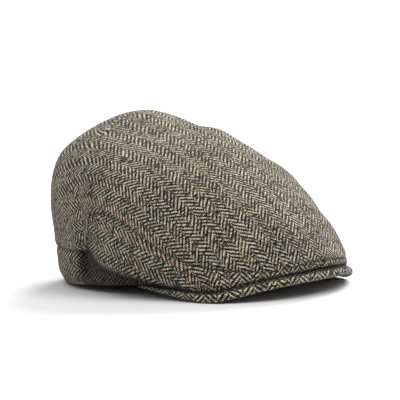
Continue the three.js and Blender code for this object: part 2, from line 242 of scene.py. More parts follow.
def sections(angle):
    """The nine points that each section of the crown passes through, from its lower edge to the apex."""
    on_the_peak = np.abs(angle) <= TAIL_ANGLE
    low = np.where(on_the_peak[..., None], on_peak(angle, STRIP_INSET), hem(angle))
    bulge = crown_ring("bulge", angle)
    bulge[..., 0] -= np.sign(bulge[..., 0]) * CREASE_DEPTH * crease_share(angle, 1)
    wall = mix(crown_ring("wall", angle), crown_ring("wallBack", angle), back_share(angle, 0))
    on_strip = {rise: mix(low, bulge, rise + 0 * angle)
                for rise in (STRIP_WALL_RISE, STRIP_UNDER_RISE, STRIP_FOLD_RISE)}
    wall_height = mix(wall[..., 2], on_strip[STRIP_WALL_RISE][..., 2], strip_share(angle))
    wall = mix(wall, on_strip[STRIP_WALL_RISE], peak_share(angle))
    wall[..., 2] = wall_height
    apex = np.zeros_like(low) + (0, APEX_SETBACK, CROWN_HEIGHT)
    return np.stack([
        low,
        wall,
        lower_row("under", angle, UNDER_RISE, wall, bulge, on_strip[STRIP_UNDER_RISE]),
        lower_row("fold", angle, FOLD_RISE, wall, bulge, on_strip[STRIP_FOLD_RISE]),
        bulge,
        crown_ring("swell", angle),
        crown_ring("shoulder", angle),
        crown_ring("crest", angle),
        apex,
    ])


def curve_points(points, level):
    """A smooth curve through each section's points, read at the levels given for every column."""
    before_first = 2 * points[0] - points[1]
    past_apex = 2 * points[-1] - points[-2]
    past_apex[..., 2] = points[-2][..., 2]
    padded = np.concatenate([before_first[None], points, past_apex[None]])
    index = np.clip(np.floor(level).astype(int), 0, LEVEL_APEX - 1)
    share = (level - index)[..., None]
    columns = np.arange(points.shape[1])
    before, start, end, after = (padded[index + offset, columns] for offset in range(4))
    spacings = []
    for near, far in ((before, start), (start, end), (end, after)):
        spacing = np.sqrt(np.linalg.norm(far - near, axis=-1, keepdims=True))
        spacings.append(np.maximum(spacing, LEAST_SPACING))
    first, middle, last = spacings
    leave = end - start + middle * ((start - before) / first - (end - before) / (first + middle))
    arrive = end - start + middle * ((after - end) / last - (after - start) / (middle + last))
    return ((2 * share**3 - 3 * share**2 + 1) * start + (share**3 - 2 * share**2 + share) * leave
            + (3 * share**2 - 2 * share**3) * end + (share**3 - share**2) * arrive)


def seam_levels(points, angle):
    """The level at which each section reaches the seam's height."""
    height = mix(height_at(SEAM_HEIGHTS, angle), height_at(SEAM_HEIGHTS_BACK, angle), back_share(angle, 1))
    low = np.full(len(angle), float(LEVEL_SEARCH))
    high = np.full(len(angle), float(LEVEL_CREST))
    for _ in range(SEARCH_STEPS):
        middle = (low + high) / 2
        below = curve_points(points, middle)[..., 2] < height
        low, high = np.where(below, middle, low), np.where(below, high, middle)
    return (low + high) / 2


def unit(vectors):
    return vectors / np.maximum(np.linalg.norm(vectors, axis=-1, keepdims=True), LEAST_LENGTH)


def grid_normals(grid):
    """Outward normals of a grid of rows from the hem up and columns from the front to the back."""
    return unit(np.cross(np.gradient(grid, axis=0), np.gradient(grid, axis=1)))


def on_surface(direction, normal):
    """The part of a direction that lies in the surface, at length 1."""
    return unit(direction - normal * (direction * normal).sum(-1, keepdims=True))


# Angles and the step between columns from there on, closer together round the tail and the crease.
COLUMN_STEPS = ((0, 1.5), (44, 0.8), (78, 1.3), (92, 0.5), (116, 1.5), (180, 1.5))


def column_angles():
    """Angles from the front to the back."""
    angles = [0.0]
    for (start, step), (end, _) in zip(COLUMN_STEPS, COLUMN_STEPS[1:]):
        count = round((end - start) / step)
        angles.extend(start + (end - start) * (number + 1) / count for number in range(count))
    return np.array(angles)


ANGLES = column_angles()
SECTIONS = sections(ANGLES)
SEAM_LEVELS = seam_levels(SECTIONS, ANGLES)


def ripple(points, size, depth, seed):
    """Soft random relief, in millimetres, of about that size and depth."""
    flat = points.reshape(-1, 3) / size
    values = [noise(Vector((x + seed, y, z))) for x, y, z in flat]
    return depth * np.array(values).reshape(points.shape[:-1])


def distance_up(grid):
    """How far each point is along its column from the first row."""
    steps = np.linalg.norm(np.diff(grid, axis=0), axis=-1)
    return np.concatenate([np.zeros((1, grid.shape[1])), np.cumsum(steps, axis=0)])


# The cloth is laid at every second row and column, in rounds that keep this share of the turns they find.
CLOTH_STRIDE = 2
CLOTH_ROUNDS = 20
CLOTH_FREEDOM = 0.88
SHORTEST_STEP = 0.2
SMALLEST_CELL = 0.05
PIN_WEIGHT = 1e4
RELAX_STEPS = 1200
RELAX_LIMIT = 1e-5


def relax(pulled, diagonal, pull, values):
    """Finds the values whose pulls on each other add up to pull, by preconditioned conjugate gradients."""
    rest = pull - pulled(values)
    scaled = rest / diagonal
    search = scaled
    level = (rest.conj() * scaled).real.sum()
    goal = RELAX_LIMIT**2 * (pull.conj() * pull / diagonal).real.sum()
    for _ in range(RELAX_STEPS):
        if level <= goal:
            break
        moved = pulled(search)
        stride = level / (search.conj() * moved).real.sum()
        values = values + stride * search
        rest = rest - stride * moved
        scaled = rest / diagonal
        last, level = level, (rest.conj() * scaled).real.sum()
        search = scaled + search * level / last
    return values


def every_few(count):
    """The numbers of the rows or columns at which the cloth is laid, with the last one."""
    return sorted(set(range(0, count, CLOTH_STRIDE)) | {count - 1})


def neighbours(ids):
    """The starts and the ends of the steps between neighbours: up, sideways and along both diagonals."""
    pairs = [(ids[:-1], ids[1:]), (ids[:, :-1], ids[:, 1:]), (ids[:-1, :-1], ids[1:, 1:]),
             (ids[1:, :-1], ids[:-1, 1:])]
    return [np.concatenate([places.ravel() for places in ends]) for ends in zip(*pairs)]


def fill_in(part, rows, columns, shape):
    """Values given at some rows and columns of a grid, read at all of them."""
    by_row = np.array([np.interp(np.arange(shape[1]), columns, row) for row in part])
    return np.array([np.interp(np.arange(shape[0]), rows, column) for column in by_row.T]).T


def solve_cloth(grid, normal, along, zero_u):
    """Lays the cloth's own coordinates, in millimetres, on a grid. v runs along the given directions.
    The rounds turn each place of the cloth a little, so that it is hardly stretched or pressed together.
    u is held at 0 on the columns that zero_u numbers."""
    rows, columns = every_few(grid.shape[0]), every_few(grid.shape[1])
    pick = np.ix_(rows, columns)
    size = len(rows) * len(columns)
    ids = np.arange(size).reshape(len(rows), len(columns))
    flat = grid[pick].reshape(-1, 3)
    along = along[pick].reshape(-1, 3)
    across = -np.cross(normal[pick].reshape(-1, 3), along)
    start, end = neighbours(ids)
    step = flat[end] - flat[start]
    cell = np.cross(np.gradient(grid[pick], axis=0), np.gradient(grid[pick], axis=1))
    area = np.linalg.norm(cell, axis=-1).ravel() + SMALLEST_CELL
    weight = (area[start] + area[end]) / np.maximum(np.linalg.norm(step, axis=-1), SHORTEST_STEP) ** 2
    # Each step as a complex number, u + iv, in the frame of the cloth at either end.
    at_start, at_end = ((step * across[ends]).sum(-1) + 1j * (step * along[ends]).sum(-1)
                        for ends in (start, end))

    def gather(places, amounts):
        return np.bincount(places, amounts.real, size) + 1j * np.bincount(places, amounts.imag, size)

    pins_u, pins_v = np.zeros(size), np.zeros(size)
    pins_u[ids[:, zero_u].ravel() if zero_u else 0] = PIN_WEIGHT
    pins_v[0] = PIN_WEIGHT

    def pulled(values):
        spread = weight * (values[end] - values[start])
        return gather(end, spread) - gather(start, spread) + pins_u * values.real + 1j * pins_v * values.imag

    diagonal = np.bincount(start, weight, size) + np.bincount(end, weight, size) + (pins_u + pins_v) / 2
    turn = np.ones(size, complex)
    values = np.zeros(size, complex)
    for _ in range(CLOTH_ROUNDS):
        wanted = weight * (turn[start] * at_start + turn[end] * at_end) / 2
        values = relax(pulled, diagonal, gather(end, wanted) - gather(start, wanted), values)
        made = weight * (values[end] - values[start])
        fit = gather(start, made * at_start.conj()) + gather(end, made * at_end.conj())
        turn = np.exp(1j * CLOTH_FREEDOM * np.angle(fit))
    parts = (values.real.reshape(ids.shape), values.imag.reshape(ids.shape))
    return np.stack([fill_in(part, rows, columns, grid.shape) for part in parts], axis=-1)


# Points closer together than this become one.
WELD = 0.002


class Piece:
    """A mesh made of grids of points, each with the cloth's coordinates."""

    def __init__(self):
        self.points, self.cloth, self.shade, self.faces = [], [], [], []
        self.count = 0

    def add(self, grid, cloth, shade):
        """The last argument, painted shading, is 1 on open cloth and less deep in a fold or a seam."""
        ids = np.arange(self.count, self.count + grid.shape[0] * grid.shape[1]).reshape(grid.shape[:2])
        self.points.append(grid.reshape(-1, 3))
        self.cloth.append(cloth.reshape(-1, 2))
        self.shade.append((shade + 0 * grid[..., 0]).ravel())
        self.count += ids.size
        return ids

    def quads(self, ids, turned=False):
        """Faces between the rows and columns of ids, seen with rows going up and columns to the left."""
        corners = [ids[:-1, :-1], ids[1:, :-1], ids[1:, 1:], ids[:-1, 1:]]
        if turned:
            corners = [corners[0], corners[3], corners[2], corners[1]]
        self.faces.append(np.stack([corner.ravel() for corner in corners], axis=-1))

    def make(self, name, material, mirrored=False):
        points = np.concatenate(self.points) + (0, BALANCE_SETBACK, 0)
        faces = np.concatenate(self.faces)
        cloth = np.concatenate(self.cloth)
        if mirrored:
            points = points * (-1, 1, 1)
            faces = faces[:, ::-1]
        mesh = bpy.data.meshes.new(name)
        mesh.from_pydata((points * MM).tolist(), [], faces.tolist())
        layer = mesh.uv_layers.new(name="cloth")
        loops = np.empty(len(mesh.loops), int)
        mesh.loops.foreach_get("vertex_index", loops)
        layer.data.foreach_set("uv", cloth[loops].astype(np.float32).ravel())
        # The painted shade, which the tweed multiplies into its colour.
        shade = mesh.attributes.new("shade", "FLOAT", "POINT")
        shade.data.foreach_set("value", np.concatenate(self.shade).astype(np.float32))
        welded = bmesh.new()
        welded.from_mesh(mesh)
        bmesh.ops.remove_doubles(welded, verts=welded.verts, dist=WELD * MM)
        welded.to_mesh(mesh)
        welded.free()
        mesh.polygons.foreach_set("use_smooth", [True] * len(mesh.polygons))
        mesh.materials.append(material)
        piece = bpy.data.objects.new(name, mesh)
        bpy.context.scene.collection.objects.link(piece)
        return piece


# Rows of the top and side panels. The top's lie a little closer together by the seam.
ROWS_TOP = 84
ROWS_SIDE = 78
ROW_SPREAD = 1.15

# The seam dips in, the cloth puffs up beside it, and the side panel's allowance runs on below the top.
SEAM_DIP = 0.9
SEAM_DIP_WIDTH = 1.3
SEAM_PUFF = 0.4
SEAM_PUFF_PLACE = 4.5
SEAM_PUFF_WIDTH = 2.5
# Strength of the painted shade in the seam's dip.
SEAM_PAINTED_SHADE = 0.45
ROWS_ALLOWANCE = 3
ALLOWANCE_SINK = 0.7
ALLOWANCE_LEVEL_STEP = 0.05

# The puff of a side panel starts where the panel is this high, and is whole where it is that high.
PUFF_START_HEIGHT = 12
PUFF_FULL_HEIGHT = 24

# Size and depth of the soft ripples, and the distance over which the side panels' ripples grow from the hem
# and the top's dents from the seam.
TOP_RIPPLE = (42, 1.0)
TOP_FINE_RIPPLE = (17, 0.25)
SIDE_RIPPLE = (30, 0.7)
PEAK_RIPPLE = (24, 0.35)
RELIEF_FADE = 8

# Dents and swellings that the photograph shows on the top: the place as far across, along and up from the
# point of balance, its half sizes across, along and up, and its height along the surface's normal.
DENTS = (
    ((2, 12, 128), (45, 22, 40), -4.6),
    ((8, 38, 131), (20, 14, 20), -1.2),
    ((31, -9, 114), (16, 8, 20), 2.4),
    ((-4, -19, 115), (14, 3.2, 30), -1.6),
    ((46, -33, 102), (18, 12, 18), -3.4),
    ((66, -67, 67), (14, 9, 16), -2.6),
    ((48, -90, 60), (35, 15, 35), -2.8),
    ((-55, 75, 85), (35, 35, 35), 1.6),
    ((0, -118, 45), (40, 16, 25), -1.4),
)

# The side panels meet in a shallow groove at the centre, with a slit between them.
CENTRE_DIP = 0.8
CENTRE_DIP_WIDTH = 1.3
CENTRE_SLIT = 0.1

# On the peak the strip's foot turns under, and painted shade leaves a dark line that is widest at the tail.
FOOT_TURN_UNDER = 1.5
FOOT_PAINTED_SHADE = 0.96
FOOT_LINE_ANGLES = (0, 30, 50, 62, TAIL_ANGLE)
FOOT_LINE_HEIGHTS = (1.6, 2.0, 2.6, 3.8, 5.2)
FOOT_LINE_END = 4

# The fold's rim sags a little ahead of the crease.
RIM_SAG = 3.2
RIM_LEVEL = 2.5
RIM_LEVEL_WIDTH = 0.7
RIM_ANGLE = 87
RIM_ANGLE_WIDTH = 9

# Painted shade in the tuck, over these levels below the fold and over this angle ahead of the tail.
TUCK_PAINTED_SHADE = 0.96
TUCK_PAINTED_SHADE_HEM = 0.72
TUCK_LEVEL_START = 0.2
TUCK_LEVEL_END = 0.9
TUCK_ANGLE = 12

# The crease's dark line of painted shade, and how many times narrower it is than the crease.
CREASE_PAINTED_SHADE = 0.55
CREASE_LINE_SHARPNESS = 2

# The pitch of the top panel's stripes below the horizontal, at angles round the cap. Over the crown they run
# from the back to the peak.
GRAIN_ANGLES = (0, 30, 60, 90, 120, 140, 160, 180)
GRAIN_PITCHES = (49, 49, 47, 41, 25, 6, -18, -45)

# The way the side panel's stripes run at angles round the cap, in degrees from ahead towards down.
SIDE_HEADING_ANGLES = (0, 42, 52, 62, 72, 84, 110, 180)
SIDE_HEADINGS = (95, 90, 64, 40, 20, -6, 0, 0)

# A side panel's cut is measured as it lies at each of these turns, in degrees.
CUT_TURNS = range(0, 180, 5)


def add_cloth(piece, outer, normal, cloth, shade, turned=False, ends=False):
    """Adds a grid of cloth with its outer face, its inner face and the edges between them."""
    outside = piece.add(outer, cloth, shade)
    inside = piece.add(outer - CLOTH * normal, cloth, shade)
    piece.quads(outside, turned)
    piece.quads(inside, not turned)
    piece.quads(np.stack([inside[0], outside[0]]), turned)
    piece.quads(np.stack([outside[-1], inside[-1]]), turned)
    if ends:
        piece.quads(np.stack([inside[:, 0], outside[:, 0]], axis=1), turned)
        piece.quads(np.stack([outside[:, -1], inside[:, -1]], axis=1), turned)


def declare_cloth(cloth, halves):
    """Finds the smallest box round a piece's cut, read from the cloth's own coordinates, which cover the
    whole piece or one of its two halves. A whole piece is turned to lie along its smallest box."""
    flat = cloth.reshape(-1, 2)
    best = None
    for degrees in CUT_TURNS:
        turn = math.radians(degrees if halves == 1 else 0)
        turned = flat @ np.array([[math.cos(turn), -math.sin(turn)], [math.sin(turn), math.cos(turn)]])
        width, length = np.ptp(turned, axis=0) * MM * (halves, 1)
        if best is None or width * length < best[0] * best[1]:
            best = (width, length)


def seam_relief(distance, puff):
    """The dip at the seam and the puff beside it, by the distance from the seam."""
    relief = -SEAM_DIP * bump(distance, 0, SEAM_DIP_WIDTH)
    return relief + SEAM_PUFF * bump(distance, SEAM_PUFF_PLACE, SEAM_PUFF_WIDTH) * puff


# Painted shade in the seam's dip, by the distance from the seam.
def seam_shade(distance):
    return 1 - SEAM_PAINTED_SHADE * bump(distance, 0, SEAM_DIP_WIDTH)


def top_relief(placed, from_seam):
    relief = seam_relief(from_seam, 1)
    relief += ripple(placed, *TOP_RIPPLE, SEED) + ripple(placed, *TOP_FINE_RIPPLE, SEED + 5)
    for dent_place, half_sizes, dent_height in DENTS:
        away = (placed - dent_place) / half_sizes
        relief += dent_height * np.exp(-(away**2).sum(-1)) * smooth(0, RELIEF_FADE, from_seam)
    return relief


def build_top(material):
    share = np.linspace(0, 1, ROWS_TOP) ** ROW_SPREAD
    levels = SEAM_LEVELS + (LEVEL_APEX - SEAM_LEVELS) * share[:, None]
    grid = np.stack([curve_points(SECTIONS, row) for row in levels])
    normal = grid_normals(grid)
    normal[-1] = (0, 0, 1)
    pitch = np.radians(np.interp(ANGLES, GRAIN_ANGLES, GRAIN_PITCHES))
    grain = np.stack([0 * pitch, -np.cos(pitch), -np.sin(pitch)], axis=-1)
    cloth = solve_cloth(grid, normal, on_surface(grain + 0 * grid, normal), (0, -1))
    from_seam = distance_up(grid)
    piece = Piece()
    for side in (1, -1):
        placed = grid * (side, 1, 1)
        facing = normal * (side, 1, 1)
        moved = placed + top_relief(placed, from_seam)[..., None] * facing
        moved[:, (0, -1), 0] = 0
        facing[:, (0, -1), 0] = 0
        add_cloth(piece, moved, unit(facing), cloth * (side, 1), seam_shade(from_seam), turned=side < 0)
    made = piece.make("top_cloth", material)
    declare_cloth(cloth, 2)
    return made


def foot_line(up):
    """1 where the strip's foot turns under on the peak."""
    on_peak_share = smooth(TAIL_ANGLE, TAIL_ANGLE - FOOT_LINE_END, ANGLES)
    return on_peak_share * bump(up, 0, np.interp(ANGLES, FOOT_LINE_ANGLES, FOOT_LINE_HEIGHTS))


def side_relief(grid, levels, up):
    relief = seam_relief(up[-1] - up, smooth(PUFF_START_HEIGHT, PUFF_FULL_HEIGHT, up[-1]))
    relief -= CENTRE_DIP * bump(grid[..., 0], 0, CENTRE_DIP_WIDTH)
    relief += ripple(grid, *SIDE_RIPPLE, SEED + 9) * smooth(0, RELIEF_FADE, up)
    relief += RIM_SAG * bump(levels, RIM_LEVEL, RIM_LEVEL_WIDTH) * bump(ANGLES, RIM_ANGLE, RIM_ANGLE_WIDTH)
    return relief - FOOT_TURN_UNDER * foot_line(up)


def side_shade(levels, up):
    """Painted shading, darkest in the tuck right under the fold, ahead of the crease."""
    in_tuck = smooth(LEVEL_FOLD - TUCK_LEVEL_START, LEVEL_FOLD - TUCK_LEVEL_END, levels)
    in_tuck = in_tuck * (1 - back_share(ANGLES, 0)) * smooth(TAIL_ANGLE - TUCK_ANGLE, TAIL_ANGLE, ANGLES)
    depth = TUCK_PAINTED_SHADE_HEM + (TUCK_PAINTED_SHADE - TUCK_PAINTED_SHADE_HEM) * smooth(0, LEVEL_UNDER, levels)
    shade = (1 - depth * in_tuck) * (1 - FOOT_PAINTED_SHADE * foot_line(up)) * seam_shade(up[-1] - up)
    from_crease = past_crease(ANGLES, smooth(0, LEVEL_BULGE, levels)) * CREASE_LINE_SHARPNESS
    return shade * (1 - CREASE_PAINTED_SHADE * bump(from_crease, 0, 1))


def build_side(name, material, mirrored):
    levels = SEAM_LEVELS * np.linspace(0, 1, ROWS_SIDE)[:, None]
    grid = np.stack([curve_points(SECTIONS, row) for row in levels])
    normal = grid_normals(grid)
    ahead = on_surface(-np.gradient(crown_ring("bulge", ANGLES), axis=0) + 0 * grid, normal)
    heading = np.radians(np.interp(ANGLES, SIDE_HEADING_ANGLES, SIDE_HEADINGS))[:, None]
    along = np.cos(heading) * ahead - np.sin(heading) * np.cross(normal, ahead)
    cloth = solve_cloth(grid, normal, along, ())
    up = distance_up(grid)
    shade = side_shade(levels, up)
    normal[:, (0, -1), 0] = 0
    normal = unit(normal)
    moved = grid + side_relief(grid, levels, up)[..., None] * normal
    moved[:, (0, -1), 0] = -CENTRE_SLIT
    # The seam allowance runs on below the top panel's edge.
    step = unit(curve_points(SECTIONS, SEAM_LEVELS + ALLOWANCE_LEVEL_STEP) - grid[-1])
    for number in range(1, ROWS_ALLOWANCE + 1):
        row = grid[-1] + step * number - normal[-1] * (SEAM_DIP + ALLOWANCE_SINK * number)
        row[(0, -1), 0] = -CENTRE_SLIT
        moved = np.concatenate([moved, row[None]])
        normal, cloth, shade = (np.concatenate([rows, rows[-1:]]) for rows in (normal, cloth, shade))
    piece = Piece()
    add_cloth(piece, moved, normal, cloth, shade, ends=True)
    made = piece.make(name, material, mirrored)
    declare_cloth(cloth, 1)
    return made


PEAK_COLUMNS = 181
PEAK_ROWS_TOP = 16
PEAK_ROWS_EDGE = 10
PEAK_EDGE_ROUND = 0.42

# The shadow on the peak's top fades out over these rows, counted from the first row of the rounded edge.
SHADOW_FADE_START = -2
SHADOW_FADE_END = 1


def peak_grid():
    """Rows from the hem over the top, round the edge and back below."""
    angles = np.linspace(-TAIL_ANGLE, TAIL_ANGLE, PEAK_COLUMNS)
    thickness = TAIL_THICKNESS + (PEAK_THICKNESS - TAIL_THICKNESS) * peak_share(angles)
    outward = peak_edge(angles) - hem(angles)
    outward[..., 2] = 0
    outward /= np.linalg.norm(outward, axis=-1, keepdims=True)
    rows = [peak_top(angles, share) for share in np.linspace(0, 1, PEAK_ROWS_TOP)]
    for turn in np.linspace(0, math.pi, PEAK_ROWS_EDGE + 2)[1:-1]:
        row = peak_edge(angles) + outward * (PEAK_EDGE_ROUND * thickness * math.sin(turn))[:, None]
        row[..., 2] -= thickness * (1 - math.cos(turn)) / 2
        rows.append(row)
    for share in np.linspace(1, 0, PEAK_ROWS_TOP):
        row = peak_top(angles, share)
        row[..., 2] -= thickness
        rows.append(row)
    grid = np.stack(rows)
    return grid + ripple(grid, *PEAK_RIPPLE, SEED + 21)[..., None] * (0, 0, 1)


def build_peak(material):
    grid = peak_grid()
    row_numbers = np.arange(len(grid))
    # The way up the grid is outward on the top and inward below.
    normal = unit(np.cross(np.gradient(grid, axis=1), np.gradient(grid, axis=0)))
    over = math.pi * smooth(PEAK_ROWS_TOP, PEAK_ROWS_TOP + PEAK_ROWS_EDGE, row_numbers)
    grain = np.stack([0 * over, -np.cos(over), -np.sin(over)], axis=-1)[:, None]
    cloth = solve_cloth(grid, normal, on_surface(grain + 0 * grid, normal), ())
    # The peak's top lies in a painted shadow of the strip, up to its rounded edge.
    in_shadow = smooth(SHADOW_FADE_END, SHADOW_FADE_START, row_numbers - PEAK_ROWS_TOP)
    piece = Piece()
    ids = piece.add(grid, cloth, 1 - FOOT_PAINTED_SHADE * in_shadow[:, None])
    piece.quads(ids, turned=True)
    piece.quads(np.stack([ids[-1], ids[0]]), turned=True)
    half = len(grid) // 2
    for column, turned in ((0, False), (-1, True)):
        piece.quads(np.stack([ids[:half, column], ids[::-1][:half, column]]), turned)
    return piece.make("peak_cloth", material)


class Graph:
    """A material's nodes, built from short calls."""

    def __init__(self, name):
        self.material = bpy.data.materials.new(name)
        self.material.use_nodes = True
        self.tree = self.material.node_tree
        self.shader = self.tree.nodes["Principled BSDF"]

    def node(self, kind, **settings):
        node = self.tree.nodes.new(kind)
        for key, value in settings.items():
            setattr(node, key, value)
        return node

    def put(self, socket, value):
        if isinstance(value, bpy.types.NodeSocket):
            self.tree.links.new(value, socket)
        else:
            socket.default_value = value

    def math(self, operation, *values):
        node = self.node("ShaderNodeMath", operation=operation)
        for socket, value in zip(node.inputs, values):
            self.put(socket, value)
        return node.outputs[0]

    def add(self, first, second):
        return self.math("ADD", first, second)

    def subtract(self, first, second):
        return self.math("SUBTRACT", first, second)

    def multiply(self, first, second):
        return self.math("MULTIPLY", first, second)

    def count(self, length, unit_length):
        """How many whole units fit in a length."""
        return self.math("FLOOR", self.math("DIVIDE", length, unit_length))

    def vector(self, x, y, z):
        node = self.node("ShaderNodeCombineXYZ")
        for socket, value in zip(node.inputs, (x, y, z)):
            self.put(socket, value)
        return node.outputs[0]

    def random(self, x, y, seed):
        """A value from 0 to 1 that is the same for the same x and y."""
        node = self.node("ShaderNodeTexWhiteNoise", noise_dimensions="3D")
        self.put(node.inputs["Vector"], self.vector(x, y, seed))
        return node.outputs["Value"]

    def noise(self, vector, scale, detail):
        node = self.node("ShaderNodeTexNoise", noise_dimensions="3D")
        self.put(node.inputs["Vector"], vector)
        self.put(node.inputs["Scale"], scale)
        self.put(node.inputs["Detail"], detail)
        return node.outputs["Fac"]

    def mix(self, share, first, second, blend="MIX"):
        node = self.node("ShaderNodeMix", data_type="RGBA", blend_type=blend)
        self.put(node.inputs["Factor"], share)
        self.put(node.inputs[6], first)
        self.put(node.inputs[7], second)
        return node.outputs[2]

    def range(self, value, low, high, to_low=0.0, to_high=1.0):
        node = self.node("ShaderNodeMapRange")
        for socket, number in zip(node.inputs, (value, low, high, to_low, to_high)):
            self.put(socket, number)
        return node.outputs[0]


# The weave: the distance of its yarns, how many make a stripe, how long a yarn lies on top and how often that
# repeats, both in yarns.
YARN = 0.92
STRIPE_YARNS = 8
FLOAT_YARNS = 2
REPEAT_YARNS = 4
LEAST_ARCH = 0.001
ARCH_POWER = 0.6

# How the yarns stray from straight lines: the scale, detail and reach of the wide drift and of the fine one.
DRIFT = (0.06, 2.0, 2.2)
FINE_DRIFT = (0.6, 2.0, 0.55)

# Added to a material's seed, so that its random patterns differ from each other.
DRIFT_SEEDS = (0.0, 7.0)
FINE_DRIFT_SEEDS = (3.0, 5.0)
WARP_SEED = 11.0
WEFT_SEED = 13.0
WEFT_FLECK_SEED = 20.0
WARP_FLECK_SEED = 30.0
PATCH_SEED = 40.0
NAP_SEED = 50.0

DARK_YARN = (0.006, 0.005, 0.0032, 1)
DARK_YARN_WARM = (0.026, 0.02, 0.011, 1)
PALE_YARN = (0.64, 0.595, 0.45, 1)
PALE_YARN_GREY = (0.15, 0.139, 0.096, 1)
RUST = (0.21, 0.05, 0.018, 1)
OLIVE = (0.26, 0.235, 0.06, 1)
LAVENDER = (0.13, 0.12, 0.17, 1)

# How much of a place's tone is its float's own and how much its yarn's, which is drawn at one place for all
# of the yarn.
FLOAT_TONE = 0.75
YARN_TONE = 0.35
ONE_YARN = 0.5

# Ranges: the first two values turn into 0 and 1, or into the last two.
WARP_TONES = (0.35, 1.05)
WEFT_TONES = (0.25, 1.0)
WARP_FIBRES = (0.8, 0.95, 0.0, 0.6)
WEFT_FIBRES = (0.8, 0.93, 0.0, 0.85)
WARP_NAP = (0.6, 0.72, 0.0, 0.4)
WEFT_NAP = (0.42, 0.3, 0.0, 0.7)
# The next range turns the yarn's height into painted shade between the yarns.
YARN_PAINTED_SHADES = (0.0, 0.75, 0.05, 1.0)
PATCH_SHADES = (0.3, 0.7, 0.85, 1.15)

# Scale and detail of the nap and of the broad patches.
NAP = (0.5, 3.0)
PATCHES = (0.035, 3.0)

# Overcheck yarns: how many yarns apart, which one of these, and its colour.
WARP_CHECKS = ((140, 108.5, RUST), (140, 38, OLIVE))
WEFT_CHECKS = ((88, 23, RUST), (88, 67, LAVENDER))
CHECK_HALF_WIDTH = 0.6
WARP_CHECK_STRENGTH = 0.85
WEFT_CHECK_STRENGTH = 0.7

# Short flecks of dyed wool: the share of places with one, and its colour.
FLECKS = ((0.02, RUST), (0.03, OLIVE), (0.016, LAVENDER))
FLECK_YARNS = 6
FLECK_STRENGTH = 0.6

# The cloth's surface.
TWEED_SURFACE = {"Roughness": 0.92, "Specular IOR Level": 0.1, "Sheen Weight": 0.08, "Sheen Roughness": 0.5}
RELIEF_STRENGTH = 0.8
RELIEF_DEPTH = 0.35
FUZZ_STRETCH = 3.0
FUZZ = (1.0, 3.0)
FUZZ_HEIGHT = 0.7


